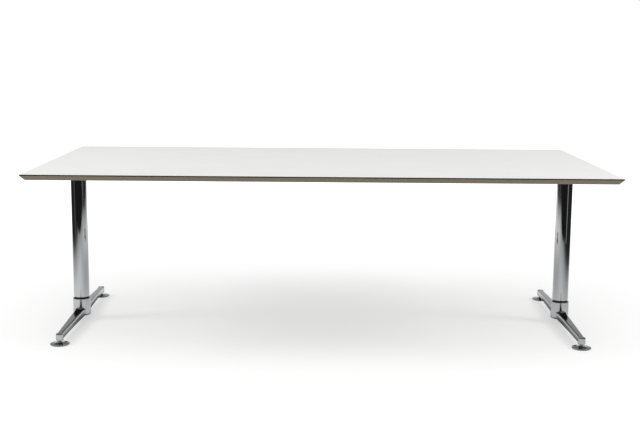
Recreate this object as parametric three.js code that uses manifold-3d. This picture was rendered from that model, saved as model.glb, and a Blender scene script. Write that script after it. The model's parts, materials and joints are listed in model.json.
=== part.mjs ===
// Conference table: a laminated top with an undercut edge on two chromed T-shaped legs.
// Millimetres, X along the top, Y across it, Z up. The origin is on the floor under the centre.

import * as THREE from 'three';
import { mergeVertices } from 'three/addons/utils/BufferGeometryUtils.js';
import Module from 'manifold-3d';

// Fits
const CLEARANCE = 0.3; // gap between a piece and the hole or seat that it fits
const OVERRUN = 1; // how far a cutter or a joined shape runs past the face that it meets

// Table top
const TABLE_HEIGHT = 735;
const TOP_LENGTH = 2400;
const TOP_WIDTH = 1200;
const LAMINATE = 1;
const CORE = 22;
const EDGE_LAND = 5; // upright part of the edge, from the upper face down
const EDGE_UNDERCUT = 17; // how far the lower face is set back from the edge

// Legs
const LEG_INSET = 106; // end of the top to the column axis
const COLUMN_DIAMETER = 70;
const COLUMN_WALL = 2.5;
const COLUMN_END_DISC = 5;
const COLUMN_CHAMFER = 0.6;
const RING_HEIGHT = 6;
const RING_RECESS = 2; // the ring lies this far behind the column's face
const RING_BORE = 40;

// Foot casting
const FOOT_CLEARANCE = 20; // floor to the underside of hub and bosses
const HUB_DIAMETER = 79;
const HUB_HEIGHT = 79;
const HUB_WALL = 11;
const HUB_WEB = 22; // solid head of the hub, above its hollow
const HUB_EDGE_RADIUS = 1.5;
const HUB_FOOT_RADIUS = 6;
const SPIGOT_GAP = 0.5; // between the hub's spigot and the column
const GLIDE_INSET = 151; // long edge of the top to the glide axis
const ARM_ROOT_WIDTH = 45;
const ARM_END_WIDTH = 27;
const ARM_ROOT_TOP = 55.5;
const ARM_END_TOP = 48.5;
const ARM_UNDERSIDE = 21;
const ARM_ARCH = 2;
const ARM_TOP_RADIUS = 1.5;
const ARM_LOW_RADIUS = 7;
const ARM_SIDE_FILLET = 10;
const ARM_TOP_FILLET = 10;
const BOSS_DIAMETER = 31;
const BOSS_EDGE_RADIUS = 4.5;
const BOSS_FOOT_RADIUS = 1.5;
const BOSS_STEP = 0.2; // the boss ends just below the arm's upper face
const CAP_THICKNESS = 3;
const CAP_SKIRT = 9;
const CAP_WALL = 2;

// Levelling glides
const PAD_DIAMETER = 72;
const PAD_THICKNESS = 2.5;
const DISC_DIAMETER = 80;
const DISC_RIM = 3.5;
const DISC_HEIGHT = 7.5;
const DISC_COLLAR_DIAMETER = 23;
const DISC_EDGE_RADIUS = 1;
const STEM_DIAMETER = 10;
const STEM_HEAD_DIAMETER = 16;
const STEM_HEAD = 2.9;
const STEM_HEX = 13; // across flats
const STEM_REACH = 24.5; // length inside the boss
const STEM_CHAMFER = 1;
const BOSS_ROOF = 3;

// Tie rod through each column
const ROD_DIAMETER = 12;
const ROD_CHAMFER = 1;
const NUT_HEX = 19;
const NUT_HEIGHT = 10;
const ROD_OVERHANG = 3; // rod beyond each nut
const WASHER_DIAMETER = 30;
const WASHER_THICKNESS = 3;

// Bearers
const BEARER_INSET = 180; // long edge of the top to the bearer's end
const BEARER_WIDTH = 60;
const BEARER_WALL = 4;
const BEARER_DEPTH = 44;
const BEARER_END_DEPTH = 16;
const BEARER_LEVEL = 80; // full-depth stretch over the column
const HEAD_PLATE = 8;
const HEAD_PLATE_PROUD = 2; // the head plate reaches below the bearer's walls

// Rails
const RAIL_SPACING = 300;
const RAIL_WIDTH = 50;
const RAIL_DEPTH = 25;
const RAIL_WALL = 2.5;
const END_PLATE_WIDTH = 100;
const END_PLATE_THICKNESS = 4;
const END_PLATE_DEPTH = 28;
const END_PLATE_SETDOWN = 0.5; // gap between the end plate and the top

// Fasteners
const BOLT_DIAMETER = 8;
const BOLT_HEX = 13;
const BOLT_HEAD = 5.5;
const BOLT_SPACING = 74; // the two bolts at one rail end
const BOLT_DROP = 13; // bolt axis below the underside of the top
const WELD_NUT_DIAMETER = 15;
const WELD_NUT_HEIGHT = 7;
const SCREW_DIAMETER = 4;
const SCREW_HEAD_DIAMETER = 9;
const SCREW_HEAD = 3;
const SCREW_HEAD_BEVEL = 1;
const SCREW_GRIP = 14; // length inside the top
const SCREW_TIP = 2;
const BEARER_SCREW_SPACING = 400; // inner pair
const BEARER_SCREW_MARGIN = 30; // outer pair, from the bearer's ends
const RAIL_SCREW_SPACING = 1000;

// Facets
const COLUMN_SIDES = 32;
const HUB_SIDES = 32;
const BOSS_SIDES = 20;
const DISC_SIDES = 24;
const CAP_SIDES = 20;
const SMALL_SIDES = 12;
const SCREW_SIDES = 8; // screws and bolts, with their holes
const ARC_STEPS = 3;
const DISH_STEPS = 3;
const ARM_STEPS = 6;
const MERGE_DISTANCE = 1e-4;

// Levels and radii worked out from the sizes above
const underside = TABLE_HEIGHT - 2 * LAMINATE - CORE;
const coreBottom = underside + LAMINATE;
const coreTop = coreBottom + CORE;
const landLevel = TABLE_HEIGHT - EDGE_LAND;
const columnTop = underside - BEARER_DEPTH - HEAD_PLATE_PROUD;
const hubTop = FOOT_CLEARANCE + HUB_HEIGHT;
const columnBottom = hubTop + RING_HEIGHT;
const columnRadius = COLUMN_DIAMETER / 2;
const hubRadius = HUB_DIAMETER / 2;
const hollowRadius = hubRadius - HUB_WALL;
const hollowTop = hubTop - HUB_WEB;
const legReach = TOP_LENGTH / 2 - LEG_INSET;
const glideReach = TOP_WIDTH / 2 - GLIDE_INSET;
const bearerReach = TOP_WIDTH / 2 - BEARER_INSET;
const bossTop = ARM_END_TOP - BOSS_STEP;
const discTop = PAD_THICKNESS + DISC_HEIGHT;
const headTop = PAD_THICKNESS + CLEARANCE + STEM_HEAD;
const stemRadius = STEM_DIAMETER / 2;
const stemBore = stemRadius + CLEARANCE;
const stemTop = FOOT_CLEARANCE + STEM_REACH;
const rodRadius = ROD_DIAMETER / 2;
const rodBore = rodRadius + CLEARANCE;
const bearerInside = BEARER_WIDTH / 2 - BEARER_WALL;
const headPlateTop = columnTop + HEAD_PLATE;
const boltLevel = underside - BOLT_DROP;
const boltBore = BOLT_DIAMETER / 2 + CLEARANCE;
const screwBore = SCREW_DIAMETER / 2 + CLEARANCE;
const bearerFace = legReach - BEARER_WIDTH / 2; // inner face of the bearers, from the centre

const finish = (color, roughness, metalness) =>
  new THREE.MeshStandardMaterial({ color, roughness, metalness });
const whiteLaminate = finish(0xe9e9e8, 0.45, 0);
const coreBoard = finish(0x8a7f6d, 0.7, 0);
const backingLaminate = finish(0x6d675d, 0.6, 0);
const chrome = finish(0xd6d8da, 0.06, 1);
const polishedCasting = finish(0xc9cbce, 0.12, 1);
const blackPlastic = finish(0x151515, 0.5, 0);
const zincSteel = finish(0x9a9c9e, 0.35, 1);
const blackSteel = finish(0x1d1d1e, 0.5, 0.3);

const wasm = await Module();
wasm.setup();

// A closed mesh as a solid that faces outwards
function solid(geometry) {
  const bare = geometry.clone();
  bare.deleteAttribute('normal');
  bare.deleteAttribute('uv');
  const merged = mergeVertices(bare, MERGE_DISTANCE);
  const position = merged.getAttribute('position');
  const index = merged.index.array;
  const corner = (i) => new THREE.Vector3().fromBufferAttribute(position, i);
  const triangles = [];
  let volume = 0;
  for (let i = 0; i < index.length; i += 3) {
    const [a, b, c] = [index[i], index[i + 1], index[i + 2]];
    if (a === b || b === c || c === a) continue;
    triangles.push([a, b, c]);
    volume += corner(a).dot(corner(b).cross(corner(c)));
  }
  const facing = volume < 0 ? triangles.map(([a, b, c]) => [a, c, b]) : triangles;
  return new wasm.Manifold(new wasm.Mesh({
    numProp: 3,
    vertProperties: new Float32Array(position.array),
    triVerts: new Uint32Array(facing.flat()),
  }));
}

function surface(body) {
  const mesh = body.getMesh();
  const geometry = new THREE.BufferGeometry();
  geometry.setAttribute('position', new THREE.BufferAttribute(new Float32Array(mesh.vertProperties), 3));
  geometry.setIndex(new THREE.BufferAttribute(new Uint32Array(mesh.triVerts), 1));
  geometry.computeVertexNormals();
  return geometry;
}

const joined = (first, ...others) => others.reduce((sum, other) => sum.add(other), first);
const cut = (first, ...others) => others.reduce((rest, other) => rest.subtract(other), first);

function piece(name, body, material) {
  const mesh = new THREE.Mesh(surface(body), material);
  mesh.name = name;
  return mesh;
}

// Points on an arc, from one angle to another in degrees
function arc(x, y, radius, from, to, steps = ARC_STEPS) {
  return Array.from({ length: steps + 1 }, (_, i) => {
    const angle = THREE.MathUtils.degToRad(from + ((to - from) * i) / steps);
    return [x + radius * Math.cos(angle), y + radius * Math.sin(angle)];
  });
}

// A profile of [radius, height] points turned about the vertical axis. A profile that is off the axis closes.
function turned(profile, sides) {
  const onAxis = profile[0][0] === 0;
  const points = onAxis ? profile : [...profile, profile[0]];
  const lathe = new THREE.LatheGeometry(points.map(([r, z]) => new THREE.Vector2(r, z)), sides);
  return solid(lathe.rotateX(Math.PI / 2));
}

// A flat outline drawn in two axes and drawn out along the third
function extruded(outline, depth, basis, holes = []) {
  const shape = new THREE.Shape(outline.map(([u, v]) => new THREE.Vector2(u, v)));
  shape.holes = holes.map((hole) => new THREE.Path(hole.map(([u, v]) => new THREE.Vector2(u, v))));
  const geometry = new THREE.ExtrudeGeometry(shape, { depth, bevelEnabled: false });
  return solid(geometry.applyMatrix4(basis));
}

const axisX = new THREE.Vector3(1, 0, 0);
const axisY = new THREE.Vector3(0, 1, 0);
const axisZ = new THREE.Vector3(0, 0, 1);
const along = {
  x: new THREE.Matrix4().makeBasis(axisY, axisZ, axisX),
  y: new THREE.Matrix4().makeBasis(axisZ, axisX, axisY),
  z: new THREE.Matrix4(),
};

function block(minX, maxX, minY, maxY, minZ, maxZ) {
  const box = new THREE.BoxGeometry(maxX - minX, maxY - minY, maxZ - minZ);
  return solid(box.translate((minX + maxX) / 2, (minY + maxY) / 2, (minZ + maxZ) / 2));
}

function upright(radius, bottom, top, sides) {
  return turned([[0, bottom], [radius, bottom], [radius, top], [0, top]], sides);
}

const hexagon = (flats) => arc(0, 0, flats / Math.sqrt(3), 0, 300, 5);
const circle = (radius, sides) => arc(0, 0, radius, 0, 360 - 360 / sides, sides - 1);

// Table top: boards share one edge profile, upright above the land and set back below it
function edgeInset(level) {
  const drop = Math.max(0, landLevel - level);
  return (EDGE_UNDERCUT * drop) / (landLevel - underside);
}

function boardSection(halfSize, bottom, top) {
  const levels = [bottom, landLevel, top].filter((z) => z >= bottom && z <= top);
  const side = [...new Set(levels)].map((z) => [halfSize - edgeInset(z), z]);
  const mirrored = side.map(([y, z]) => [-y, z]).reverse();
  return [...side, ...mirrored];
}

function board(bottom, top) {
  const acrossSection = boardSection(TOP_WIDTH / 2, bottom, top);
  const lengthSection = boardSection(TOP_LENGTH / 2, bottom, top).map(([x, z]) => [z, x]);
  const across = extruded(acrossSection, TOP_LENGTH, along.x).translate([-TOP_LENGTH / 2, 0, 0]);
  const lengthwise = extruded(lengthSection, TOP_WIDTH, along.y).translate([0, -TOP_WIDTH / 2, 0]);
  return across.intersect(lengthwise);
}

const bearerScrews = [BEARER_SCREW_SPACING / 2, bearerReach - BEARER_SCREW_MARGIN].flatMap((y) => [-y, y]);
const legSides = { left: -1, right: 1 };
const railSides = { front: -1, back: 1 };

function screwPlaces() {
  const places = [];
  for (const [leg, side] of Object.entries(legSides)) {
    bearerScrews.forEach((y, i) => places.push({
      name: `${leg}_bearer_screw_${i + 1}`,
      x: side * legReach,
      y,
      plate: BEARER_WALL,
    }));
  }
  for (const [rail, side] of Object.entries(railSides)) {
    [-1, 1].forEach((end, i) => places.push({
      name: `${rail}_rail_screw_${i + 1}`,
      x: (end * RAIL_SCREW_SPACING) / 2,
      y: (side * RAIL_SPACING) / 2,
      plate: RAIL_WALL,
    }));
  }
  return places;
}

function screw(place) {
  const radius = SCREW_DIAMETER / 2;
  const seat = underside - place.plate;
  const tip = underside + SCREW_GRIP;
  const profile = [
    [0, seat - SCREW_HEAD],
    [SCREW_HEAD_DIAMETER / 2 - SCREW_HEAD_BEVEL, seat - SCREW_HEAD],
    [SCREW_HEAD_DIAMETER / 2, seat - SCREW_HEAD + SCREW_HEAD_BEVEL],
    [SCREW_HEAD_DIAMETER / 2, seat],
    [radius, seat],
    [radius, tip - SCREW_TIP],
    [0, tip],
  ];
  return turned(profile, SCREW_SIDES).translate([place.x, place.y, 0]);
}

function tableTop(places) {
  const holeTop = underside + SCREW_GRIP + CLEARANCE;
  const holes = places.map(({ x, y }) =>
    upright(screwBore, underside - OVERRUN, holeTop, SCREW_SIDES).translate([x, y, 0]));
  return [
    piece('top_laminate', board(coreTop, TABLE_HEIGHT), whiteLaminate),
    piece('top_core', cut(board(coreBottom, coreTop), ...holes), coreBoard),
    piece('under_laminate', cut(board(underside, coreBottom), ...holes), backingLaminate),
  ];
}

// Foot casting
function hub() {
  const spigotRadius = RING_BORE / 2 - CLEARANCE;
  const spigotTop = columnBottom - SPIGOT_GAP;
  const profile = [
    [rodBore, hollowTop],
    [hollowRadius, hollowTop],
    [hollowRadius, FOOT_CLEARANCE],
    ...arc(hubRadius - HUB_FOOT_RADIUS, FOOT_CLEARANCE + HUB_FOOT_RADIUS, HUB_FOOT_RADIUS, -90, 0),
    ...arc(hubRadius - HUB_EDGE_RADIUS, hubTop - HUB_EDGE_RADIUS, HUB_EDGE_RADIUS, 0, 90, 2),
    [spigotRadius, hubTop],
    [spigotRadius, spigotTop],
    [rodBore, spigotTop],
  ];
  return turned(profile, HUB_SIDES);
}

const armSlope = (reach) => (reach - hubRadius) / (glideReach - hubRadius);
const armTop = (reach) => THREE.MathUtils.lerp(ARM_ROOT_TOP, ARM_END_TOP, armSlope(reach));

function armLow(reach) {
  const middle = 2 * armSlope(reach) - 1;
  return ARM_UNDERSIDE + ARM_ARCH * Math.max(0, 1 - middle * middle);
}

// Centre of the upright fillet that carries an arm's side into the hub
const filletAcross = ARM_ROOT_WIDTH / 2 + ARM_SIDE_FILLET;
const filletReach = Math.sqrt((hubRadius + ARM_SIDE_FILLET) ** 2 - filletAcross ** 2);
const armStart = (filletReach * hubRadius) / (hubRadius + ARM_SIDE_FILLET);

function armHalfWidth(reach) {
  if (reach < filletReach) {
    return filletAcross - Math.sqrt(ARM_SIDE_FILLET ** 2 - (filletReach - reach) ** 2);
  }
  const share = (reach - filletReach) / (glideReach - filletReach);
  return THREE.MathUtils.lerp(ARM_ROOT_WIDTH, ARM_END_WIDTH, share) / 2;
}

// One cross-section of an arm: flat on top with eased edges, and well rounded below
function armSection(reach) {
  const half = armHalfWidth(reach);
  const top = armTop(reach);
  const low = armLow(reach);
  const topX = half - ARM_TOP_RADIUS;
  const topZ = top - ARM_TOP_RADIUS;
  const lowX = half - ARM_LOW_RADIUS;
  const lowZ = low + ARM_LOW_RADIUS;
  const outline = [
    ...arc(lowX, lowZ, ARM_LOW_RADIUS, -90, 0),
    ...arc(topX, topZ, ARM_TOP_RADIUS, 0, 90, 1),
    ...arc(-topX, topZ, ARM_TOP_RADIUS, 90, 180, 1),
    ...arc(-lowX, lowZ, ARM_LOW_RADIUS, 180, 270),
  ];
  return outline.map(([x, z]) => new THREE.Vector3(x, reach, z));
}

// A skin over sections with equal numbers of points, closed at both ends
function lofted(sections) {
  const count = sections[0].length;
  const triangles = [];
  for (let s = 0; s + 1 < sections.length; s += 1) {
    for (let i = 0; i < count; i += 1) {
      const a = s * count + i;
      const b = s * count + ((i + 1) % count);
      triangles.push(a, b, a + count, b, b + count, a + count);
    }
  }
  const last = (sections.length - 1) * count;
  for (let i = 1; i + 1 < count; i += 1) {
    triangles.push(0, i + 1, i, last, last + i, last + i + 1);
  }
  const geometry = new THREE.BufferGeometry();
  geometry.setFromPoints(sections.flat());
  geometry.setIndex(triangles);
  return solid(geometry);
}

function arm() {
  const flare = Array.from({ length: ARC_STEPS }, (_, i) =>
    THREE.MathUtils.lerp(armStart, filletReach, i / ARC_STEPS));
  const straight = Array.from({ length: ARM_STEPS + 1 }, (_, i) =>
    THREE.MathUtils.lerp(filletReach, glideReach, i / ARM_STEPS));
  return lofted([...flare, ...straight].map(armSection));
}

// Concave fillet from the arm's upper face into the hub, as wide as the arm
function armFillet() {
  const outer = hubRadius + ARM_TOP_FILLET;
  const base = armTop(outer) - CLEARANCE;
  const inner = hubRadius - HUB_WALL / 2;
  const low = base - ARM_TOP_FILLET / 2;
  const sweep = arc(outer, base + ARM_TOP_FILLET, ARM_TOP_FILLET, -90, -180);
  const ring = turned([[inner, low], [outer, low], ...sweep, [inner, base + ARM_TOP_FILLET]], HUB_SIDES);
  const half = ARM_ROOT_WIDTH / 2 - ARM_TOP_RADIUS;
  return ring.intersect(block(-half, half, inner, outer + OVERRUN, low, hubTop));
}

function boss() {
  const radius = BOSS_DIAMETER / 2;
  const profile = [
    [0, FOOT_CLEARANCE],
    ...arc(radius - BOSS_FOOT_RADIUS, FOOT_CLEARANCE + BOSS_FOOT_RADIUS, BOSS_FOOT_RADIUS, -90, 0, 1),
    ...arc(radius - BOSS_EDGE_RADIUS, bossTop - BOSS_EDGE_RADIUS, BOSS_EDGE_RADIUS, 0, 90),
    [0, bossTop],
  ];
  return turned(profile, BOSS_SIDES).translate([0, glideReach, 0]);
}

function foot() {
  const stemHole = upright(stemBore, FOOT_CLEARANCE - OVERRUN, bossTop - BOSS_ROOF, SMALL_SIDES);
  const backArm = cut(joined(arm(), armFillet(), boss()), stemHole.translate([0, glideReach, 0]));
  return joined(hub(), backArm, backArm.mirror([0, 1, 0]));
}

function hubCap() {
  const radius = hollowRadius - CLEARANCE;
  const floor = FOOT_CLEARANCE + CAP_THICKNESS;
  const profile = [
    [0, FOOT_CLEARANCE],
    [radius, FOOT_CLEARANCE],
    [radius, FOOT_CLEARANCE + CAP_SKIRT],
    [radius - CAP_WALL, FOOT_CLEARANCE + CAP_SKIRT],
    [radius - CAP_WALL, floor],
    [0, floor],
  ];
  return turned(profile, CAP_SIDES);
}

function spacerRing() {
  const outer = columnRadius - RING_RECESS;
  const inner = RING_BORE / 2;
  const profile = [[inner, hubTop], [outer, hubTop], [outer, columnBottom], [inner, columnBottom]];
  return turned(profile, COLUMN_SIDES);
}

function column() {
  const inside = columnRadius - COLUMN_WALL;
  const profile = [
    [rodBore, columnBottom],
    [columnRadius - COLUMN_CHAMFER, columnBottom],
    [columnRadius, columnBottom + COLUMN_CHAMFER],
    [columnRadius, columnTop],
    [rodBore, columnTop],
    [rodBore, columnTop - COLUMN_END_DISC],
    [inside, columnTop - COLUMN_END_DISC],
    [inside, columnBottom + COLUMN_END_DISC],
    [rodBore, columnBottom + COLUMN_END_DISC],
  ];
  return turned(profile, COLUMN_SIDES);
}

// Tie rod and what clamps on it
const lowerNutTop = hollowTop - WASHER_THICKNESS;
const rodBottom = lowerNutTop - NUT_HEIGHT - ROD_OVERHANG;
const rodTop = headPlateTop + NUT_HEIGHT + ROD_OVERHANG;

function tieRod() {
  const tip = rodRadius - ROD_CHAMFER;
  const profile = [
    [0, rodBottom],
    [tip, rodBottom],
    [rodRadius, rodBottom + ROD_CHAMFER],
    [rodRadius, rodTop - ROD_CHAMFER],
    [tip, rodTop],
    [0, rodTop],
  ];
  return turned(profile, SMALL_SIDES);
}

function nut(bottom) {
  const bore = circle(rodBore, SMALL_SIDES);
  return extruded(hexagon(NUT_HEX), NUT_HEIGHT, along.z, [bore]).translate([0, 0, bottom]);
}

function washer() {
  const outer = WASHER_DIAMETER / 2;
  const profile = [[rodBore, lowerNutTop], [outer, lowerNutTop], [outer, hollowTop], [rodBore, hollowTop]];
  return turned(profile, CAP_SIDES);
}

// Bearer: a pressed channel, open below, deep over the column and shallow at its ends
function bearerSide(inset, drop) {
  const half = bearerReach - inset;
  const level = BEARER_LEVEL / 2;
  const low = underside - BEARER_DEPTH - drop;
  const endLow = underside - BEARER_END_DEPTH - drop;
  const top = underside - inset;
  return [[-half, top], [-half, endLow], [-level, low], [level, low], [half, endLow], [half, top]];
}

function boltPlaces() {
  const places = [];
  for (const [rail, side] of Object.entries(railSides)) {
    [-1, 1].forEach((end, i) => places.push({
      name: `${rail}_rail_bolt_${i + 1}`,
      y: (side * RAIL_SPACING + end * BOLT_SPACING) / 2,
    }));
  }
  return places;
}

function bearer(inward) {
  const half = BEARER_WIDTH / 2;
  const outside = extruded(bearerSide(0, 0), BEARER_WIDTH, along.x).translate([-half, 0, 0]);
  const inside = extruded(bearerSide(BEARER_WALL, OVERRUN), 2 * bearerInside, along.x)
    .translate([-bearerInside, 0, 0]);
  const plate = upright(columnRadius, columnTop, headPlateTop, COLUMN_SIDES);
  const wallInside = inward * bearerInside;
  const nutFace = wallInside - inward * WELD_NUT_HEIGHT;
  const nutRoot = wallInside + (inward * BEARER_WALL) / 2;
  const weldNuts = boltPlaces().map(({ y }) =>
    extruded(circle(WELD_NUT_DIAMETER / 2, SCREW_SIDES), Math.abs(nutRoot - nutFace), along.x)
      .translate([Math.min(nutRoot, nutFace), y, boltLevel]));
  const boltHoles = boltPlaces().map(({ y }) => {
    const length = BEARER_WALL + WELD_NUT_HEIGHT + 2 * OVERRUN;
    const start = inward > 0 ? half + OVERRUN - length : -half - OVERRUN;
    return extruded(circle(boltBore, SCREW_SIDES), length, along.x).translate([start, y, boltLevel]);
  });
  const screwHole = upright(screwBore, underside - BEARER_WALL - OVERRUN, underside + OVERRUN, SCREW_SIDES);
  const screwHoles = bearerScrews.map((y) => screwHole.translate([0, y, 0]));
  const rodHole = upright(rodBore, columnTop - OVERRUN, headPlateTop + OVERRUN, SMALL_SIDES);
  const shell = joined(cut(outside, inside), plate, ...weldNuts);
  return cut(shell, rodHole, ...boltHoles, ...screwHoles);
}

// Rail: a channel open below, with a plate welded across each end
function rail(side) {
  const half = RAIL_WIDTH / 2;
  const low = underside - RAIL_DEPTH;
  const web = underside - RAIL_WALL;
  const inner = half - RAIL_WALL;
  const section = [
    [-half, underside], [-half, low], [-inner, low], [-inner, web],
    [inner, web], [inner, low], [half, low], [half, underside],
  ];
  const reach = bearerFace - END_PLATE_THICKNESS / 2;
  const channel = extruded(section, 2 * reach, along.x).translate([-reach, 0, 0]);
  const plateHalf = END_PLATE_WIDTH / 2;
  const inside = bearerFace - END_PLATE_THICKNESS;
  const plateTop = underside - END_PLATE_SETDOWN;
  const plateLow = plateTop - END_PLATE_DEPTH;
  const plates = [
    block(inside, bearerFace, -plateHalf, plateHalf, plateLow, plateTop),
    block(-bearerFace, -inside, -plateHalf, plateHalf, plateLow, plateTop),
  ];
  const boltHole = extruded(circle(boltBore, SCREW_SIDES), 2 * (bearerFace + OVERRUN), along.x);
  const boltHoles = [-1, 1].map((end) =>
    boltHole.translate([-bearerFace - OVERRUN, (end * BOLT_SPACING) / 2, boltLevel]));
  const screwHole = upright(screwBore, web - OVERRUN, underside + OVERRUN, SCREW_SIDES);
  const screwHoles = [-1, 1].map((end) => screwHole.translate([(end * RAIL_SCREW_SPACING) / 2, 0, 0]));
  return cut(joined(channel, ...plates), ...boltHoles, ...screwHoles)
    .translate([0, (side * RAIL_SPACING) / 2, 0]);
}

// Bolt through a rail's end plate into the bearer, its head towards the middle of the table
function bolt(inward, y) {
  const headFace = bearerFace - END_PLATE_THICKNESS;
  const tip = bearerFace + BEARER_WALL + WELD_NUT_HEIGHT;
  const shank = extruded(circle(BOLT_DIAMETER / 2, SCREW_SIDES), tip - headFace + OVERRUN, along.x)
    .translate([headFace - OVERRUN, 0, 0]);
  const head = extruded(hexagon(BOLT_HEX), BOLT_HEAD, along.x).translate([headFace - BOLT_HEAD, 0, 0]);
  const body = joined(shank, head);
  const turnedIn = inward > 0 ? body.mirror([1, 0, 0]) : body;
  return turnedIn.translate([0, y, boltLevel]);
}

// Levelling glide: a screw stem whose head turns in a dished disc with a sole pad
function glidePad() {
  return upright(PAD_DIAMETER / 2, 0, PAD_THICKNESS, DISC_SIDES);
}

function glideDisc() {
  const radius = DISC_DIAMETER / 2;
  const rimTop = PAD_THICKNESS + DISC_RIM;
  const collar = DISC_COLLAR_DIAMETER / 2;
  const headBore = STEM_HEAD_DIAMETER / 2 + CLEARANCE;
  const dish = Array.from({ length: DISH_STEPS + 1 }, (_, i) => {
    const share = i / DISH_STEPS;
    const out = THREE.MathUtils.lerp(radius - DISC_EDGE_RADIUS, collar, share);
    return [out, THREE.MathUtils.lerp(rimTop, discTop, share * share)];
  });
  const profile = [
    [headBore, PAD_THICKNESS],
    [radius - DISC_EDGE_RADIUS, PAD_THICKNESS],
    [radius, PAD_THICKNESS + DISC_EDGE_RADIUS],
    [radius, rimTop - DISC_EDGE_RADIUS],
    ...dish,
    [stemBore, discTop],
    [stemBore, headTop + CLEARANCE],
    [headBore, headTop + CLEARANCE],
  ];
  return turned(profile, DISC_SIDES);
}

function glideStem() {
  const headBottom = PAD_THICKNESS + CLEARANCE;
  const profile = [
    [0, headBottom],
    [STEM_HEAD_DIAMETER / 2, headBottom],
    [STEM_HEAD_DIAMETER / 2, headTop],
    [stemRadius, headTop],
    [stemRadius, stemTop - STEM_CHAMFER],
    [stemRadius - STEM_CHAMFER, stemTop],
    [0, stemTop],
  ];
  const hexBottom = discTop + CLEARANCE;
  const hexHeight = FOOT_CLEARANCE - CLEARANCE - hexBottom;
  const hex = extruded(hexagon(STEM_HEX), hexHeight, along.z).translate([0, 0, hexBottom]);
  return joined(turned(profile, SMALL_SIDES), hex);
}

// Assembly
function leg(name, side) {
  const group = new THREE.Group();
  group.position.x = side * legReach;
  group.add(
    piece(`${name}_foot`, foot(), polishedCasting),
    piece(`${name}_hub_cap`, hubCap(), blackPlastic),
    piece(`${name}_spacer_ring`, spacerRing(), blackPlastic),
    piece(`${name}_column`, column(), chrome),
    piece(`${name}_tie_rod`, tieRod(), zincSteel),
    piece(`${name}_tie_washer`, washer(), zincSteel),
    piece(`${name}_lower_nut`, nut(lowerNutTop - NUT_HEIGHT), zincSteel),
    piece(`${name}_upper_nut`, nut(headPlateTop), zincSteel),
    piece(`${name}_bearer`, bearer(-side), blackSteel),
  );
  for (const [end, sign] of Object.entries(railSides)) {
    const glide = new THREE.Group();
    glide.position.y = sign * glideReach;
    glide.add(
      piece(`${name}_${end}_glide_disc`, glideDisc(), chrome),
      piece(`${name}_${end}_glide_pad`, glidePad(), blackPlastic),
      piece(`${name}_${end}_glide_stem`, glideStem(), zincSteel),
    );
    group.add(glide);
  }
  return group;
}

const table = new THREE.Group();
const screws = screwPlaces();
table.add(...tableTop(screws));
table.add(...screws.map((place) => piece(place.name, screw(place), zincSteel)));
for (const [name, side] of Object.entries(legSides)) {
  table.add(leg(name, side));
  boltPlaces().forEach((place) => {
    table.add(piece(`${name}_${place.name}`, bolt(-side, place.y), zincSteel));
  });
}
for (const [name, side] of Object.entries(railSides)) {
  table.add(piece(`${name}_rail`, rail(side), blackSteel));
}

export default table;
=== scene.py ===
# Looks of the conference table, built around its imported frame. Metres, X along the top, Z up.

import json
import math

import bmesh
import bpy
from mathutils import Matrix, Vector


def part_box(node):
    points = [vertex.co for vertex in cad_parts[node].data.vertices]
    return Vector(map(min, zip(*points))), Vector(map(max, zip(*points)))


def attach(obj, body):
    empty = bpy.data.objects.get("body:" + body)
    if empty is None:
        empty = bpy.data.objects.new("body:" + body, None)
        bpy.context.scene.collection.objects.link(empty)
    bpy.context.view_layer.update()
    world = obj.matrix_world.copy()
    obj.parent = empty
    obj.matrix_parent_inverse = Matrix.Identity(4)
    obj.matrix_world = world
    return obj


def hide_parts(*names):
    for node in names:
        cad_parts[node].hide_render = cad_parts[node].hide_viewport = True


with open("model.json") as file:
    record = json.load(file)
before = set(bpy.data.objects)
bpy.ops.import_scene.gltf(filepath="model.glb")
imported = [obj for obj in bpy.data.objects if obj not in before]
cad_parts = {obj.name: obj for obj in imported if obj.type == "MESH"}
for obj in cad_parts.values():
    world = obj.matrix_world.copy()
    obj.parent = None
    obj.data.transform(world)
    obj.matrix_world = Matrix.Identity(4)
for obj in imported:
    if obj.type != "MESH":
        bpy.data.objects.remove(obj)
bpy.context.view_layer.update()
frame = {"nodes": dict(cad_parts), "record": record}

scene = bpy.context.scene
MM = 0.001

# Sizes of the top in millimetres, as far as the frame doesn't give them
EDGE_LAND = 5
EDGE_UNDERCUT = 17
ARRIS = 0.8
LOWER_ARRIS = 0.6

# Sizes of the legs in millimetres
COLUMN_CHAMFER = 1.5
ROD_BORE = 6.3
SPIGOT_RADIUS = 19.7
SPIGOT_HEIGHT = 5.5
HUB_HEIGHT = 79
HUB_DIAMETER = 79
HUB_WALL = 11
HUB_HOLLOW = 57
HUB_EDGE_RADIUS = 3
HUB_FOOT_RADIUS = 6
ARM_ROOT_WIDTH = 45
ARM_END_WIDTH = 27
ARM_ROOT_TOP = 55.5
ARM_END_TOP = 48.5
ARM_UNDERSIDE = 21
ARM_ARCH = 2
ARM_TOP_RADIUS = 8
ARM_LOW_RADIUS = 7
ARM_END_INSET = 0.5
ARM_SIDE_FILLET = 10
ARM_TOP_FILLET = 5
BOSS_DIAMETER = 31
BOSS_EDGE_RADIUS = 4.5
BOSS_FOOT_RADIUS = 1.5
BOSS_STEP = 0.2
BOSS_ROOF = 3

# Sizes of the glides in millimetres
DISC_RIM = 3.5
DISC_COLLAR_RADIUS = 11.5
DISC_EDGE_RADIUS = 0.6
DISC_HEAD_BORE = 8.3
PAD_CHAMFER = 0.5
STEM_BORE = 5.3
STEM_RADIUS = 5
STEM_HEAD = 2.9
STEM_HEX = 13
STEM_HEX_BEVEL = 0.8
STEM_CHAMFER = 1
THREAD_PITCH = 1.5
THREAD_DEPTH = 0.75

# Play between pieces, overlap of joined and cutting shapes, and reach of welding, in millimetres
GAP = 0.3
OVERRUN = 1
WELD_REACH = 0.005

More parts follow.
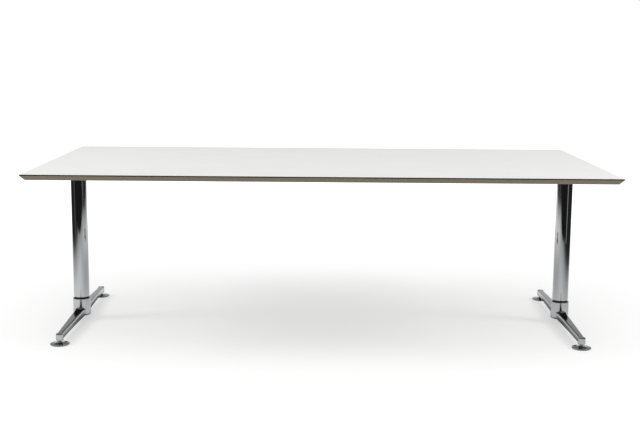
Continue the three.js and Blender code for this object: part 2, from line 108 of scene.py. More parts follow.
# Facets
ROUND_SIDES = 128
BOSS_SIDES = 64
STEM_SIDES = 32
BORE_SIDES = 35
HEX_SIDES = 6
MOST_CORNERS = 4
ARC_STEPS = 6
DISH_STEPS = 10
ARM_STEPS = 24
THREAD_RINGS = 8
SHARP_ANGLE = 30

# Photograph's camera: 640 by 426 pixels, fitted to the top's corners, the columns and the glides
PHOTO_WIDTH = 640
PHOTO_HEIGHT = 426
FOCAL_PIXELS = 1121.74
PRINCIPAL_ROW = 219.76
CAMERA_PLACE = (-0.0067, -5.0105, 1.2747)
CAMERA_PITCH = 0.15998
CAMERA_ROLL = 0.00766
SENSOR_WIDTH = 36


def add_camera():
    data = bpy.data.cameras.new("camera")
    data.sensor_fit = "HORIZONTAL"
    data.sensor_width = SENSOR_WIDTH
    data.lens = SENSOR_WIDTH * FOCAL_PIXELS / PHOTO_WIDTH
    data.shift_y = (PRINCIPAL_ROW - PHOTO_HEIGHT / 2) / PHOTO_WIDTH
    camera = bpy.data.objects.new("camera", data)
    scene.collection.objects.link(camera)
    tilt = Matrix.Rotation(math.pi / 2 - CAMERA_PITCH, 4, "X")
    roll = Matrix.Rotation(CAMERA_ROLL, 4, "Z")
    camera.matrix_world = Matrix.Translation(CAMERA_PLACE) @ tilt @ roll
    scene.camera = camera


# Shapes

def add_piece(name, points, faces):
    mesh = bpy.data.meshes.new(name)
    mesh.from_pydata([Vector(p) * MM for p in points], [], faces)
    shape = bmesh.new()
    shape.from_mesh(mesh)
    bmesh.ops.recalc_face_normals(shape, faces=shape.faces)
    shape.to_mesh(mesh)
    shape.free()
    piece = bpy.data.objects.new(name, mesh)
    scene.collection.objects.link(piece)
    return piece


def blend_value(first, last, share):
    return first + (last - first) * share


def arc(x, y, radius, start, stop):
    """Points on an arc between two angles in degrees."""
    angles = [math.radians(start + (stop - start) * i / ARC_STEPS) for i in range(ARC_STEPS + 1)]
    return [(x + radius * math.cos(a), y + radius * math.sin(a)) for a in angles]


def level_ring(radius, height, sides, centre=(0, 0)):
    """Points spaced evenly about an upright axis."""
    points = []
    for i in range(sides):
        angle = 2 * math.pi * i / sides
        x = centre[0] + radius * math.cos(angle)
        y = centre[1] + radius * math.sin(angle)
        points.append((x, y, height))
    return points


def turned(name, profile, sides, centre=(0, 0)):
    """Turns (radius, height) points about an upright axis.

    A profile that starts off the axis closes on itself.
    """
    points, rings = [], []
    for radius, height in profile:
        first = len(points)
        if radius == 0:
            rings.append([first] * sides)
            points.append((*centre, height))
        else:
            rings.append(list(range(first, first + sides)))
            points.extend(level_ring(radius, height, sides, centre))
    if profile[0][0] > 0:
        rings.append(rings[0])
    faces = []
    for low, high in zip(rings, rings[1:]):
        for i in range(sides):
            j = (i + 1) % sides
            corners = [low[i], low[j], high[j], high[i]]
            faces.append(list(dict.fromkeys(corners)))
    return add_piece(name, points, faces)


def lofted(name, sections):
    """Skins sections that have equal numbers of points and closes both ends."""
    count = len(sections[0])
    points = [p for section in sections for p in section]
    faces = []
    for s in range(len(sections) - 1):
        for i in range(count):
            a = s * count + i
            b = s * count + (i + 1) % count
            faces.append([a, b, b + count, a + count])
    last = (len(sections) - 1) * count
    faces.append(list(range(count)))
    faces.append(list(range(last, last + count)))
    return add_piece(name, points, faces)


def settle_modifiers(piece):
    evaluated = piece.evaluated_get(bpy.context.evaluated_depsgraph_get())
    mesh = bpy.data.meshes.new_from_object(evaluated)
    piece.modifiers.clear()
    piece.data = mesh


def combine(piece, tool, operation):
    modifier = piece.modifiers.new("combine", "BOOLEAN")
    modifier.operation = operation
    modifier.solver = "EXACT"
    modifier.object = tool
    settle_modifiers(piece)
    bpy.data.objects.remove(tool)


def weld(piece):
    """Joins points that lie on each other and splits faces that have more than four corners."""
    shape = bmesh.new()
    shape.from_mesh(piece.data)
    bmesh.ops.remove_doubles(shape, verts=shape.verts, dist=WELD_REACH * MM)
    bmesh.ops.dissolve_degenerate(shape, edges=shape.edges, dist=WELD_REACH * MM)
    many_sided = [face for face in shape.faces if len(face.verts) > MOST_CORNERS]
    bmesh.ops.triangulate(shape, faces=many_sided, ngon_method="BEAUTY")
    shape.to_mesh(piece.data)
    shape.free()


def shade(piece):
    piece.data.shade_smooth()
    piece.data.set_sharp_from_angle(angle=math.radians(SHARP_ANGLE))
    normals = piece.modifiers.new("normals", "WEIGHTED_NORMAL")
    normals.keep_sharp = True


def finish_piece(piece, materials, slot, body, *nodes):
    piece.data.materials.clear()
    piece.data.materials.append(materials[slot])
    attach(piece, body)
    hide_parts(*nodes)


def centre_of(node):
    low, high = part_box(node)
    return (low + high) / 2 / MM


def span_of(node):
    low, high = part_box(node)
    return low / MM, high / MM


def add_round(name, profile, materials, slot, body, node):
    """A turned piece on the axis of the node that it replaces."""
    piece = turned(name, profile, ROUND_SIDES, centre_of(node).xy)
    shade(piece)
    finish_piece(piece, materials, slot, body, node)


# Shader nodes

def calculate(tree, operation, first, second):
    """One step of arithmetic on two values, each a float or a socket."""
    node = tree.nodes.new("ShaderNodeMath")
    node.operation = operation
    for socket, value in zip(node.inputs, (first, second)):
        if isinstance(value, float):
            socket.default_value = value
        else:
            tree.links.new(value, socket)
    return node.outputs[0]


def map_range(tree, value, to_span, from_span=(0, 1), blend="LINEAR"):
    node = tree.nodes.new("ShaderNodeMapRange")
    node.interpolation_type = blend
    limits = (*from_span, *to_span)
    for name, limit in zip(("From Min", "From Max", "To Min", "To Max"), limits):
        node.inputs[name].default_value = limit
    tree.links.new(value, node.inputs["Value"])
    return node.outputs["Result"]


def noise(tree, scale, detail=3.0, stretch=(1, 1, 1)):
    place = tree.nodes.new("ShaderNodeTexCoord")
    mapping = tree.nodes.new("ShaderNodeMapping")
    mapping.inputs["Scale"].default_value = stretch
    texture = tree.nodes.new("ShaderNodeTexNoise")
    texture.inputs["Scale"].default_value = scale
    texture.inputs["Detail"].default_value = detail
    tree.links.new(place.outputs["Object"], mapping.inputs["Vector"])
    tree.links.new(mapping.outputs["Vector"], texture.inputs["Vector"])
    return texture.outputs["Fac"]


# Materials

WHITE = (1, 1, 1, 1)
LAMINATE_COAT = 0.1
LAMINATE_COAT_ROUGHNESS = 0.3

# Noise values over which a finish changes
ROUGHNESS_SPAN = (0.3, 0.7)
COLOUR_SPAN = (0.35, 0.65)


def shader_of(material):
    return material.node_tree.nodes["Principled BSDF"]


def new_material(name, colour, roughness, metallic=0.0):
    material = bpy.data.materials.new(name)
    material.use_nodes = True
    shader = shader_of(material)
    shader.inputs["Base Color"].default_value = (*colour, 1)
    shader.inputs["Roughness"].default_value = roughness
    shader.inputs["Metallic"].default_value = metallic
    return material


def vary_roughness(material, low, high, **grain):
    tree = material.node_tree
    roughness = map_range(tree, noise(tree, **grain), (low, high), ROUGHNESS_SPAN)
    tree.links.new(roughness, shader_of(material).inputs["Roughness"])


def vary_colour(material, first, second, **grain):
    tree = material.node_tree
    ramp = tree.nodes.new("ShaderNodeValToRGB")
    for stop, place, colour in zip(ramp.color_ramp.elements, COLOUR_SPAN, (first, second)):
        stop.position = place
        stop.color = (*colour, 1)
    tree.links.new(noise(tree, **grain), ramp.inputs["Fac"])
    tree.links.new(ramp.outputs["Color"], shader_of(material).inputs["Base Color"])


def roughen(material, strength, depth, **grain):
    """Fine bumps. The depth is in millimetres."""
    tree = material.node_tree
    bump = tree.nodes.new("ShaderNodeBump")
    bump.inputs["Strength"].default_value = strength
    bump.inputs["Distance"].default_value = depth * MM
    tree.links.new(noise(tree, **grain), bump.inputs["Height"])
    tree.links.new(bump.outputs["Normal"], shader_of(material).inputs["Normal"])


def make_materials():
    laminate = new_material("white_laminate", colour=(0.82, 0.82, 0.815), roughness=0.4)
    shader = shader_of(laminate)
    shader.inputs["Specular IOR Level"].default_value = 0
    shader.inputs["Coat Weight"].default_value = LAMINATE_COAT
    shader.inputs["Coat Roughness"].default_value = LAMINATE_COAT_ROUGHNESS
    vary_colour(laminate, (0.815, 0.815, 0.81), (0.83, 0.83, 0.826), scale=6, detail=2)
    vary_roughness(laminate, low=0.36, high=0.44, scale=40)
    roughen(laminate, strength=0.12, depth=0.05, scale=900, detail=2)

    board = new_material("core_board", colour=(0.24, 0.206, 0.144), roughness=0.6)
    fibres = {"scale": 260, "detail": 6, "stretch": (1, 1, 3)}
    vary_colour(board, (0.215, 0.183, 0.125), (0.267, 0.23, 0.163), **fibres)
    roughen(board, strength=0.25, depth=0.1, scale=1200, detail=4)

    # Near-black for the upright edge faces: partly the laminate's dark core edge, partly painted shade
    land = new_material("core_land", colour=(0.03, 0.026, 0.018), roughness=0.5)
    vary_colour(land, (0.026, 0.022, 0.015), (0.036, 0.03, 0.021), scale=260, detail=6)
    roughen(land, strength=0.2, depth=0.08, scale=1200, detail=4)

    backing = new_material("backing_laminate", colour=(0.22, 0.2, 0.17), roughness=0.55)
    vary_colour(backing, (0.2, 0.182, 0.153), (0.24, 0.218, 0.186), scale=90, detail=4)
    roughen(backing, strength=0.2, depth=0.08, scale=700, detail=3)

    chrome = new_material("chrome", colour=(0.66, 0.67, 0.68), roughness=0.05, metallic=1)
    vary_roughness(chrome, low=0.03, high=0.07, scale=25, detail=4)
    roughen(chrome, strength=0.02, depth=0.2, scale=14, detail=2)

    casting = new_material("polished_casting", colour=(0.64, 0.65, 0.66), roughness=0.1, metallic=1)
    vary_roughness(casting, low=0.07, high=0.14, scale=45, detail=4)
    roughen(casting, strength=0.03, depth=0.2, scale=60, detail=3)

    plastic = new_material("black_plastic", colour=(0.012, 0.012, 0.012), roughness=0.5)
    vary_roughness(plastic, low=0.42, high=0.58, scale=300)
    roughen(plastic, strength=0.3, depth=0.05, scale=1500)

    zinc = new_material("zinc_steel", colour=(0.5, 0.51, 0.52), roughness=0.35, metallic=1)
    vary_roughness(zinc, low=0.28, high=0.42, scale=400, detail=4)
    vary_colour(zinc, (0.46, 0.47, 0.48), (0.54, 0.55, 0.56), scale=150, detail=4)

    steel = new_material("black_steel", colour=(0.018, 0.018, 0.019), roughness=0.5)
    vary_roughness(steel, low=0.42, high=0.55, scale=200, detail=4)
    roughen(steel, strength=0.4, depth=0.08, scale=900, detail=3)
    return {
        "white_laminate": laminate,
        "core_board": board,
        "core_land": land,
        "backing_laminate": backing,
        "chrome": chrome,
        "polished_casting": casting,
        "black_plastic": plastic,
        "zinc_steel": zinc,
        "black_steel": steel,
    }


# Table top

# A face counts as part of the dark edge while its normal's Z stays under these. The near-black there is
# partly the laminate's dark core edge and partly painted shade on the upright faces
LAMINATE_EDGE_TILT = 0.6
CORE_LAND_TILT = 0.1


def land_level():
    """Height where the edge's upright land ends and its undercut starts."""
    return span_of("top_laminate")[1].z - EDGE_LAND


def edge_inset(level):
    """How far the undercut edge stands back at a level."""
    land = land_level()
    underside = span_of("under_laminate")[0].z
    return EDGE_UNDERCUT * max(0, land - level) / (land - underside)


def board_shape(name, levels):
    """A board with one rectangle for each (level, inset) pair."""
    half = span_of("top_core")[1]
    rings = []
    for level, inset in levels:
        x, y = half.x - inset, half.y - inset
        rings.append([(-x, -y, level), (x, -y, level), (x, y, level), (-x, y, level)])
    return lofted(name, rings)


# Upright faces take the near-black edge colour, partly a dark core edge and partly painted shade
def darken_edge(piece, materials, tilt):
    piece.data.materials.append(materials["core_land"])
    for polygon in piece.data.polygons:
        if abs(polygon.normal.z) < tilt:
            polygon.material_index = 1


def add_top_face(materials):
    low, high = span_of("top_laminate")
    easing = arc(ARRIS, high.z - ARRIS, ARRIS, 180, 90)
    face = board_shape("top_face", [(low.z, 0)] + [(z, x) for x, z in easing])
    shade(face)
    finish_piece(face, materials, "white_laminate", "root", "top_laminate")
    darken_edge(face, materials, LAMINATE_EDGE_TILT)


def add_core(materials):
    low, high = span_of("top_core")
    levels = [(level, edge_inset(level)) for level in (low.z, land_level(), high.z)]
    core = board_shape("top_board", levels)
    finish_piece(core, materials, "core_board", "root", "top_core")
    darken_edge(core, materials, CORE_LAND_TILT)


def add_backing(materials):
    low, high = span_of("under_laminate")
    easing = low.z + LOWER_ARRIS
    levels = [
        (low.z, edge_inset(low.z) + LOWER_ARRIS),
        (easing, edge_inset(easing)),
        (high.z, edge_inset(high.z)),
    ]
    backing = board_shape("under_sheet", levels)
    finish_piece(backing, materials, "backing_laminate", "root", "under_laminate")


# Legs

def add_column(leg, materials):
    node = f"{leg}_column"
    low, high = span_of(node)
    radius = (high.x - low.x) / 2
    profile = [
        (ROD_BORE, low.z),
        (radius - COLUMN_CHAMFER, low.z),
        (radius, low.z + COLUMN_CHAMFER),
        (radius, high.z),
        (ROD_BORE, high.z),
    ]
    add_round(f"{leg}_column_tube", profile, materials, "chrome", "root", node)


def add_ring(leg, materials):
    node = f"{leg}_spacer_ring"
    low, high = span_of(node)
    outer = (high.x - low.x) / 2
    inner = SPIGOT_RADIUS + GAP
    profile = [(inner, low.z), (outer, low.z), (outer, high.z), (inner, high.z)]
    add_round(f"{leg}_ring", profile, materials, "black_plastic", "root", node)


class Arm:
    """Sections of one arm of a foot, which tapers from the hub to the boss."""

    def __init__(self, reach):
        self.reach = reach
        self.hub = HUB_DIAMETER / 2
        across = ARM_ROOT_WIDTH / 2 + ARM_SIDE_FILLET
        self.fillet_across = across
        self.fillet_reach = math.sqrt((self.hub + ARM_SIDE_FILLET) ** 2 - across ** 2)
        self.start = self.fillet_reach * self.hub / (self.hub + ARM_SIDE_FILLET)

    def top(self, y):
        return blend_value(ARM_ROOT_TOP, ARM_END_TOP, (y - self.hub) / (self.reach - self.hub))

    def low(self, y):
        middle = 2 * (y - self.hub) / (self.reach - self.hub) - 1
        return ARM_UNDERSIDE + ARM_ARCH * max(0, 1 - middle * middle)

    def half_width(self, y):
        if y < self.fillet_reach:
            return self.fillet_across - math.sqrt(ARM_SIDE_FILLET ** 2 - (self.fillet_reach - y) ** 2)
        share = (y - self.fillet_reach) / (self.reach - self.fillet_reach)
        return blend_value(ARM_ROOT_WIDTH, ARM_END_WIDTH, share) / 2

    def section(self, y):
        half = self.half_width(y)
        top_x, top_z = half - ARM_TOP_RADIUS, self.top(y) - ARM_TOP_RADIUS
        low_x, low_z = half - ARM_LOW_RADIUS, self.low(y) + ARM_LOW_RADIUS
        outline = [
            *arc(low_x, low_z, ARM_LOW_RADIUS, -90, 0),
            *arc(top_x, top_z, ARM_TOP_RADIUS, 0, 90),
            *arc(-top_x, top_z, ARM_TOP_RADIUS, 90, 180),
            *arc(-low_x, low_z, ARM_LOW_RADIUS, 180, 270),
        ]
        return [(x, y, z) for x, z in outline]

    def sections(self):
        flare = [blend_value(self.start, self.fillet_reach, i / ARC_STEPS) for i in range(ARC_STEPS)]
        end = self.reach - ARM_END_INSET
        straight = [blend_value(self.fillet_reach, end, i / ARM_STEPS) for i in range(ARM_STEPS + 1)]
        return [self.section(y) for y in flare + straight]


def arm_fillet(arm):
    """Concave fillet between the arm's upper face and the hub."""
    inner, outer = arm.hub - HUB_WALL / 2, arm.hub + ARM_TOP_FILLET
    base = arm.top(outer) - GAP
    low, high = base - ARM_TOP_FILLET / 2, base + ARM_TOP_FILLET
    sweep = arc(outer, high, ARM_TOP_FILLET, -90, -180)
    fillet = turned("fillet", [(inner, low), (outer, low), *sweep, (inner, high)], ROUND_SIDES)
    half = ARM_ROOT_WIDTH / 2 - ARM_TOP_RADIUS
    bottom, top = low - OVERRUN, high + OVERRUN
    corners = [(-half, bottom), (half, bottom), (half, top), (-half, top)]
    ends = [[(x, y, z) for x, z in corners] for y in (inner, outer + OVERRUN)]
    combine(fillet, lofted("fillet_block", ends), "INTERSECT")
    return fillet


def hub_profile(underside):
    radius = HUB_DIAMETER / 2
    hollow = radius - HUB_WALL
    roof = underside + HUB_HOLLOW
    top = underside + HUB_HEIGHT
    return [
        (ROD_BORE, roof),
        (hollow, roof),
        (hollow, underside),
        *arc(radius - HUB_FOOT_RADIUS, underside + HUB_FOOT_RADIUS, HUB_FOOT_RADIUS, -90, 0),
        *arc(radius - HUB_EDGE_RADIUS, top - HUB_EDGE_RADIUS, HUB_EDGE_RADIUS, 0, 90),
        (SPIGOT_RADIUS, top),
        (SPIGOT_RADIUS, top + SPIGOT_HEIGHT),
        (ROD_BORE, top + SPIGOT_HEIGHT),
    ]


def boss_profiles(underside):
    """Profiles of the boss at an arm's end and of the stem's bore in it."""
    radius = BOSS_DIAMETER / 2
    top = ARM_END_TOP - BOSS_STEP
    boss = [
        (0, underside),
        *arc(radius - BOSS_FOOT_RADIUS, underside + BOSS_FOOT_RADIUS, BOSS_FOOT_RADIUS, -90, 0),
        *arc(radius - BOSS_EDGE_RADIUS, top - BOSS_EDGE_RADIUS, BOSS_EDGE_RADIUS, 0, 90),
        (0, top),
    ]
    mouth, roof = underside - OVERRUN, top - BOSS_ROOF
    bore = [(0, mouth), (STEM_BORE, mouth), (STEM_BORE, roof), (0, roof)]
    return boss, bore


def add_foot(leg, materials):
    node = f"{leg}_foot"
    low, high = span_of(node)
    foot = turned(f"{leg}_foot_casting", hub_profile(low.z), ROUND_SIDES)
    arm = Arm(high.y - BOSS_DIAMETER / 2)
    boss, bore = boss_profiles(low.z)
    boss_place = (0, arm.reach)
    for turn in (0, math.pi):
        shape = lofted("arm", arm.sections())
        combine(shape, arm_fillet(arm), "UNION")
        combine(shape, turned("boss", boss, BOSS_SIDES, boss_place), "UNION")
        combine(shape, turned("bore", bore, BORE_SIDES, boss_place), "DIFFERENCE")
        shape.data.transform(Matrix.Rotation(turn, 4, "Z"))
        combine(foot, shape, "UNION")
    foot.data.transform(Matrix.Translation((centre_of(node).x * MM, 0, 0)))
    weld(foot)
    shade(foot)
    finish_piece(foot, materials, "polished_casting", "root", node)


# Levelling glides

def add_disc(name, materials):
    node = f"{name}_glide_disc"
    low, high = span_of(node)
    radius = (high.y - low.y) / 2
    rim_top = low.z + DISC_RIM
    head_roof = low.z + STEM_HEAD + 2 * GAP
    shoulder = radius - DISC_EDGE_RADIUS
    dish = []
    for i in range(DISH_STEPS + 1):
        share = i / DISH_STEPS
        out = blend_value(shoulder, DISC_COLLAR_RADIUS, share)
        dish.append((out, blend_value(rim_top, high.z, share * share)))
    profile = [
        (DISC_HEAD_BORE, low.z),
        *arc(shoulder, low.z + DISC_EDGE_RADIUS, DISC_EDGE_RADIUS, -90, 0),
        *arc(shoulder, rim_top - DISC_EDGE_RADIUS, DISC_EDGE_RADIUS, 0, 90)[:-1],
        *dish,
        (STEM_BORE, high.z),
        (STEM_BORE, head_roof),
        (DISC_HEAD_BORE, head_roof),
    ]
    add_round(f"{name}_disc", profile, materials, "chrome", f"{name}_glide", node)


def add_pad(name, materials):
    node = f"{name}_glide_pad"
    low, high = span_of(node)
    radius = (high.y - low.y) / 2
    profile = [
        (0, low.z),
        (radius - PAD_CHAMFER, low.z),
        (radius, low.z + PAD_CHAMFER),
        (radius, high.z),
        (0, high.z),
    ]
    add_round(f"{name}_pad", profile, materials, "black_plastic", f"{name}_glide", node)


def threaded_rod(bottom, top):
    """A rod whose radius follows a one-start thread up the axis."""
    rings = round((top - bottom) / THREAD_PITCH * THREAD_RINGS)
    sections = []
    for k in range(rings + 1):
        height = blend_value(bottom, top, k / rings)
        fade = min(1, (top - height) / STEM_CHAMFER)
        section = []
        for i in range(STEM_SIDES):
            turn = i / STEM_SIDES
            phase = (height / THREAD_PITCH - turn) % 1
            depth = THREAD_DEPTH * abs(2 * phase - 1)
            radius = STEM_RADIUS - max(depth, STEM_CHAMFER * (1 - fade))
            angle = 2 * math.pi * turn
            section.append((radius * math.cos(angle), radius * math.sin(angle), height))
        sections.append(section)
    return lofted("thread", sections)


def add_hexagon(name, low, top):
    """A hexagon whose corners are bevelled at both ends."""
    flats = STEM_HEX / 2
    corner = STEM_HEX / math.sqrt(3)
    hexagon = lofted(name, [level_ring(corner, height, HEX_SIDES) for height in (low, top)])
    crown = [
        (0, low),
        (flats, low),
        (corner + OVERRUN, low + STEM_HEX_BEVEL),
        (corner + OVERRUN, top - STEM_HEX_BEVEL),
        (flats, top),
        (0, top),
    ]
    combine(hexagon, turned("crown", crown, STEM_SIDES), "INTERSECT")
    return hexagon


def add_stem(name, materials):
    node = f"{name}_glide_stem"
    leg = name.split("_")[0]
    low, high = span_of(node)
    centre = centre_of(node)
    disc_top = span_of(f"{name}_glide_disc")[1].z
    foot_underside = span_of(f"{leg}_foot")[0].z
    hex_low, hex_top = disc_top + GAP, foot_underside - GAP
    head_top = low.z + STEM_HEAD
    head_radius = DISC_HEAD_BORE - GAP
    neck = [
        (0, low.z),
        (head_radius, low.z),
        (head_radius, head_top),
        (STEM_RADIUS, head_top),
        (STEM_RADIUS, hex_low + OVERRUN),
        (0, hex_low + OVERRUN),
    ]
    stem = add_hexagon(f"{name}_screw", hex_low, hex_top)
    combine(stem, turned("neck", neck, STEM_SIDES), "UNION")
    combine(stem, threaded_rod(hex_top - OVERRUN, high.z), "UNION")
    stem.data.transform(Matrix.Translation((centre.x * MM, centre.y * MM, 0)))
    weld(stem)
    shade(stem)
    finish_piece(stem, materials, "zinc_steel", f"{name}_stem", node)


# Steelwork under the top keeps the frame's own solids

def dress_frame_nodes(materials):
    slots = {part["node"]: part["material_slot"] for part in frame["record"]["subparts"]}
    for name, node in frame["nodes"].items():
        if not node.hide_render:
            node.data.materials.clear()
            node.data.materials.append(materials[slots[name]])


# Studio: a pale sheet under the table in a dark room, with a grey backdrop and a grey ceiling

FLOOR_SIZE = 60.0
FLOOR_COLOUR = 0.88
FLOOR_ROUGHNESS = 0.9
SEEN_FLOOR_COLOUR = 0.54
LIFT_REACH = (2.25, 1.6)
LIFT_NEAR = 0.55
LIFT_START = 1.1
LIFT_END = 2.2

# Floor in reflections, a glow with painted light and shade: a painted pool of light, a painted shadow
# under the table and painted contact shade at the feet. The painted light levels are (distance, level)
# pairs
SHEET_MIDDLE = -0.24
SHEET_REACH = (2.1, 2.4)
SHEET_PAINTED_LIGHT = (
    (0.45, 1.0),
    (0.6, 0.92),
    (0.7, 0.84),
    (0.8, 0.72),
    (0.9, 0.57),
    (1.05, 0.43),
    (1.15, 0.28),
    (1.32, 0.07),
    (1.5, 0.02),
)
TABLE_SHADE = 0.54
TABLE_SHADE_REACH = (1.27, 3.0)
CONTACT_SHADE_REACH = 0.15
CONTACT_SHADE_POWER = 6.0
SQUARE_ROOT = 0.5

# Cards round the table, which only reflections show
ROOM_REACH = 12.0
ROOM_HEIGHT = 7.0
DARK_LEVEL = 0.012
CEILING_LEVEL = 0.2
DARK_FLOOR_X = (-6.0, 2.6)
DARK_FLOOR_EDGE = (-2.72, -2.09)
# Painted light on the backdrop: its glow is brightest at the floor and darkens upwards
BACK_LEVELS = ((0, 0.75), (0.43, 0.36), (1, 0.06))
BACK_DISTANCE = 5.0
BACK_HEIGHT = 3.0
SPILL_LEVELS = {"left": 0.1, "right": 0.28}
SPILL_STARTS = {"left": (-2.75, -1.0), "right": (2.5, -1.55)}
SPILL_ENDS = {"left": (-6.5, -3.2), "right": (5.5, -4.5)}
SPILL_WIDTH = 0.3
CARD_LIFT = 0.002

# Lamps
LAMP_PLACE = (0, -1.0, 3.5)
LAMP_SIZE = (8.0, 4.0)
LAMP_POWER = 42
SIDE_LAMP_PLACES = {"left": (-4.0, -0.6, 3.0), "right": (4.0, -0.9, 3.0)}
SIDE_LAMP_POWERS = {"left": 41, "right": 38}
SIDE_LAMP_SIZE = (1.2, 1.2)
AMBIENT = 0.63


def stage_plane(name, corners, material):
    mesh = bpy.data.meshes.new(name)
    mesh.from_pydata(corners, [], [list(range(len(corners)))])
    plane = bpy.data.objects.new(name, mesh)
    scene.collection.objects.link(plane)
    mesh.materials.append(material)
    return plane


def reflection_card(name, corners, material):
    """A studio card that shows in reflections and nowhere else."""
    card = stage_plane(name, corners, material)
    card.visible_camera = False
    card.visible_diffuse = False
    card.visible_shadow = False
    card.visible_transmission = False


def glow(name, level):
    """A material that gives off an even grey."""
    material = bpy.data.materials.new(name)
    material.use_nodes = True
    nodes = material.node_tree.nodes
    nodes.remove(nodes["Principled BSDF"])
    emission = nodes.new("ShaderNodeEmission")
    emission.inputs["Color"].default_value = (level, level, level, 1)
    material.node_tree.links.new(emission.outputs[0], nodes["Material Output"].inputs["Surface"])
    return material


def level_ramp(tree, value, levels):
    """Grey levels over a value, given as (value, level) pairs."""
    furthest = float(levels[-1][0])
    ramp = tree.nodes.new("ShaderNodeValToRGB")
    stops = ramp.color_ramp.elements
    while len(stops) < len(levels):
        stops.new(1)
    for stop, (place, level) in zip(stops, levels):
        stop.position = place / furthest
        stop.color = (level, level, level, 1)
    tree.links.new(calculate(tree, "DIVIDE", value, furthest), ramp.inputs["Fac"])
    return ramp.outputs["Color"]


def place_sockets(tree):
    """Sockets for the X, Y and Z of a place on the surface."""
    place = tree.nodes.new("ShaderNodeTexCoord")
    apart = tree.nodes.new("ShaderNodeSeparateXYZ")
    tree.links.new(place.outputs["Object"], apart.inputs[0])
    return apart.outputs


def backdrop_material():
    """A glowing grey that darkens upwards: painted light that falls off up the backdrop."""
    material = glow("grey_backdrop", 1)
    tree = material.node_tree
    height = calculate(tree, "DIVIDE", place_sockets(tree)["Z"], BACK_HEIGHT)
    tree.links.new(level_ramp(tree, height, BACK_LEVELS), tree.nodes["Emission"].inputs["Color"])
    return material


def sheet_distance(tree):
    """Distance from the sheet's middle, 1 on an ellipse of its reach. The sheet runs on at the back."""
    place = place_sockets(tree)
    across = calculate(tree, "SUBTRACT", place["X"], SHEET_MIDDLE)
    across = calculate(tree, "DIVIDE", across, SHEET_REACH[0])
    forward = calculate(tree, "MINIMUM", place["Y"], 0.0)
    forward = calculate(tree, "DIVIDE", forward, SHEET_REACH[1])
    across = calculate(tree, "MULTIPLY", across, across)
    forward = calculate(tree, "MULTIPLY", forward, forward)
    return calculate(tree, "POWER", calculate(tree, "ADD", across, forward), SQUARE_ROOT)


def centre_distance(tree, reach):
    """Distance from the table's centre, 1 on an ellipse of that reach."""
    place = tree.nodes.new("ShaderNodeTexCoord")
    mapping = tree.nodes.new("ShaderNodeMapping")
    mapping.inputs["Scale"].default_value = (1 / reach[0], 1 / reach[1], 0)
    length = tree.nodes.new("ShaderNodeVectorMath")
    length.operation = "LENGTH"
    tree.links.new(place.outputs["Object"], mapping.inputs["Vector"])
    tree.links.new(mapping.outputs["Vector"], length.inputs[0])
    return length.outputs["Value"]


def set_seen_paper(tree, shader, seen):
    """For the camera the paper is greyer, and it fades to white away from the table."""
    distance = centre_distance(tree, LIFT_REACH)
    lift = map_range(tree, distance, (LIFT_NEAR, 1), (LIFT_START, LIFT_END), "SMOOTHSTEP")
    lifted = calculate(tree, "MULTIPLY", seen, lift)
    tree.links.new(lifted, shader.inputs["Emission Strength"])
    shader.inputs["Emission Color"].default_value = WHITE
    paper = map_range(tree, seen, (FLOOR_COLOUR, SEEN_FLOOR_COLOUR))
    tree.links.new(paper, shader.inputs["Base Color"])


def reflected_paper(tree):
    """In reflections the paper is a glow with painted light and shade: a painted pool of light that
    darkens away from its middle, a painted shadow under the table and painted contact shade close to its
    feet.
    """
    # Painted shadow of the table: a soft dip in the glow under the table's middle
    distance = centre_distance(tree, TABLE_SHADE_REACH)
    squared = calculate(tree, "MULTIPLY", distance, distance)
    falling = calculate(tree, "MULTIPLY", squared, -1.0)
    under = calculate(tree, "POWER", math.e, falling)
    open_floor = calculate(tree, "SUBTRACT", 1.0, calculate(tree, "MULTIPLY", under, TABLE_SHADE))
    # Painted contact shade: the glow darkens where the feet hem the floor in
    contact = tree.nodes.new("ShaderNodeAmbientOcclusion")
    contact.inputs["Distance"].default_value = CONTACT_SHADE_REACH
    close = calculate(tree, "POWER", contact.outputs["AO"], CONTACT_SHADE_POWER)
    emission = tree.nodes.new("ShaderNodeEmission")
    tree.links.new(level_ramp(tree, sheet_distance(tree), SHEET_PAINTED_LIGHT), emission.inputs["Color"])
    tree.links.new(calculate(tree, "MULTIPLY", close, open_floor), emission.inputs["Strength"])
    return emission.outputs[0]


def floor_material():
    """Pale paper with one look for the camera and another for reflections, where it glows with painted
    light and shade.
    """
    material = new_material("pale_floor", (FLOOR_COLOUR,) * 3, FLOOR_ROUGHNESS)
    tree = material.node_tree
    shader = shader_of(material)
    shader.inputs["Specular IOR Level"].default_value = 0
    path = tree.nodes.new("ShaderNodeLightPath")
    seen = calculate(tree, "MAXIMUM", path.outputs["Is Camera Ray"], path.outputs["Is Transmission Ray"])
    set_seen_paper(tree, shader, seen)
    either = tree.nodes.new("ShaderNodeMixShader")
    tree.links.new(path.outputs["Is Glossy Ray"], either.inputs["Fac"])
    tree.links.new(shader.outputs[0], either.inputs[1])
    tree.links.new(reflected_paper(tree), either.inputs[2])
    tree.links.new(either.outputs[0], tree.nodes["Material Output"].inputs["Surface"])
    return material


def level_card(x_span, y_span, height):
    (x0, x1), (y0, y1) = x_span, y_span
    return [(x0, y0, height), (x1, y0, height), (x1, y1, height), (x0, y1, height)]


def upright_card(start, stop, low, high):
    return [(*start, low), (*stop, low), (*stop, high), (*start, high)]


def dark_floor_card():
    """Dark floor in front of the sheet, whose front edge lies askew."""
    left, right = DARK_FLOOR_X
    left_edge, right_edge = DARK_FLOOR_EDGE
    corners = ((left, -ROOM_REACH), (right, -ROOM_REACH), (right, right_edge), (left, left_edge))
    return [(*corner, CARD_LIFT) for corner in corners]


def spill_card(side):
    """A strip of dim light on the dark floor, outwards from a front corner of the sheet."""
    start, stop = Vector(SPILL_STARTS[side]), Vector(SPILL_ENDS[side])
    across = (stop - start).normalized().orthogonal() * SPILL_WIDTH / 2
    wide = across * (stop - start).length
    corners = (start - across, start + across, stop + wide, stop - wide)
    return [(*corner, 2 * CARD_LIFT) for corner in corners]


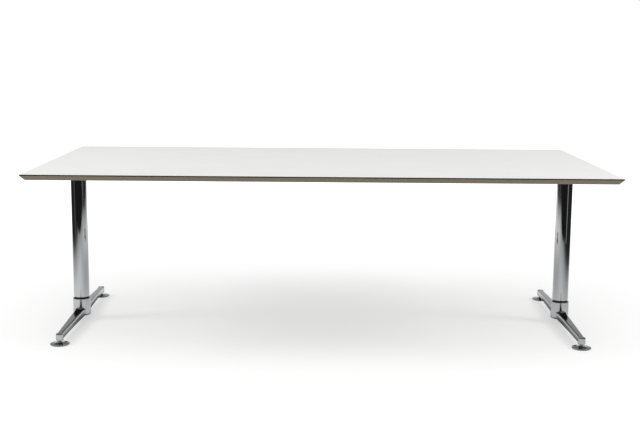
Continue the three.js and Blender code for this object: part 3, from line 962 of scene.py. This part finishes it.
def add_studio():
    half = FLOOR_SIZE / 2
    stage_plane("floor", level_card((-half, half), (-half, half), 0), floor_material())
    dark = glow("dark_room", DARK_LEVEL)
    ceiling = level_card((-ROOM_REACH, ROOM_REACH), (-ROOM_REACH, BACK_DISTANCE), ROOM_HEIGHT)
    front_left, front_right = (-ROOM_REACH, -ROOM_REACH), (ROOM_REACH, -ROOM_REACH)
    back_left, back_right = (-ROOM_REACH, BACK_DISTANCE), (ROOM_REACH, BACK_DISTANCE)
    reflection_card("front_dark_floor", dark_floor_card(), dark)
    reflection_card("ceiling", ceiling, glow("grey_ceiling", CEILING_LEVEL))
    reflection_card("front_flag", upright_card(front_left, front_right, 0, ROOM_HEIGHT), dark)
    reflection_card("left_flag", upright_card(front_left, back_left, 0, ROOM_HEIGHT), dark)
    reflection_card("right_flag", upright_card(front_right, back_right, 0, ROOM_HEIGHT), dark)
    reflection_card("backdrop", upright_card(back_left, back_right, 0, BACK_HEIGHT), backdrop_material())
    reflection_card("back_flag", upright_card(back_left, back_right, BACK_HEIGHT, ROOM_HEIGHT), dark)
    for side, level in SPILL_LEVELS.items():
        reflection_card(f"{side}_spill", spill_card(side), glow(f"{side}_spill", level))


def add_lamp(name, place, size, power):
    """A lamp that faces the floor, leans towards the table's middle and shows in no reflection."""
    lamp = bpy.data.lights.new(name, "AREA")
    lamp.shape = "RECTANGLE"
    lamp.size, lamp.size_y = size
    lamp.energy = power
    holder = bpy.data.objects.new(name, lamp)
    holder.location = place
    downwards = Vector((-place[0], 0, -place[2]))
    holder.rotation_euler = downwards.to_track_quat("-Z", "Y").to_euler()
    holder.visible_glossy = False
    scene.collection.objects.link(holder)


def add_lights():
    """Three lamps, and light from all around that is seen as white but lights surfaces less."""
    world = bpy.data.worlds.new("studio")
    scene.world = world
    world.use_nodes = True
    tree = world.node_tree
    background = tree.nodes["Background"]
    background.inputs["Color"].default_value = WHITE
    path = tree.nodes.new("ShaderNodeLightPath")
    seen = calculate(tree, "MAXIMUM", path.outputs["Is Camera Ray"], path.outputs["Is Glossy Ray"])
    seen = calculate(tree, "MAXIMUM", seen, path.outputs["Is Transmission Ray"])
    tree.links.new(map_range(tree, seen, (AMBIENT, 1)), background.inputs["Strength"])
    add_lamp("overhead", LAMP_PLACE, LAMP_SIZE, LAMP_POWER)
    for side, place in SIDE_LAMP_PLACES.items():
        add_lamp(f"{side}_lamp", place, SIDE_LAMP_SIZE, SIDE_LAMP_POWERS[side])


# The scene, piece by piece

scene.view_settings.view_transform = "Standard"
add_camera()
finishes = make_materials()
add_top_face(finishes)
add_core(finishes)
add_backing(finishes)
for leg_name in ("left", "right"):
    add_column(leg_name, finishes)
    add_ring(leg_name, finishes)
    add_foot(leg_name, finishes)
    for end_name in ("front", "back"):
        glide_name = f"{leg_name}_{end_name}"
        add_disc(glide_name, finishes)
        add_pad(glide_name, finishes)
        add_stem(glide_name, finishes)
dress_frame_nodes(finishes)
add_studio()
add_lights()
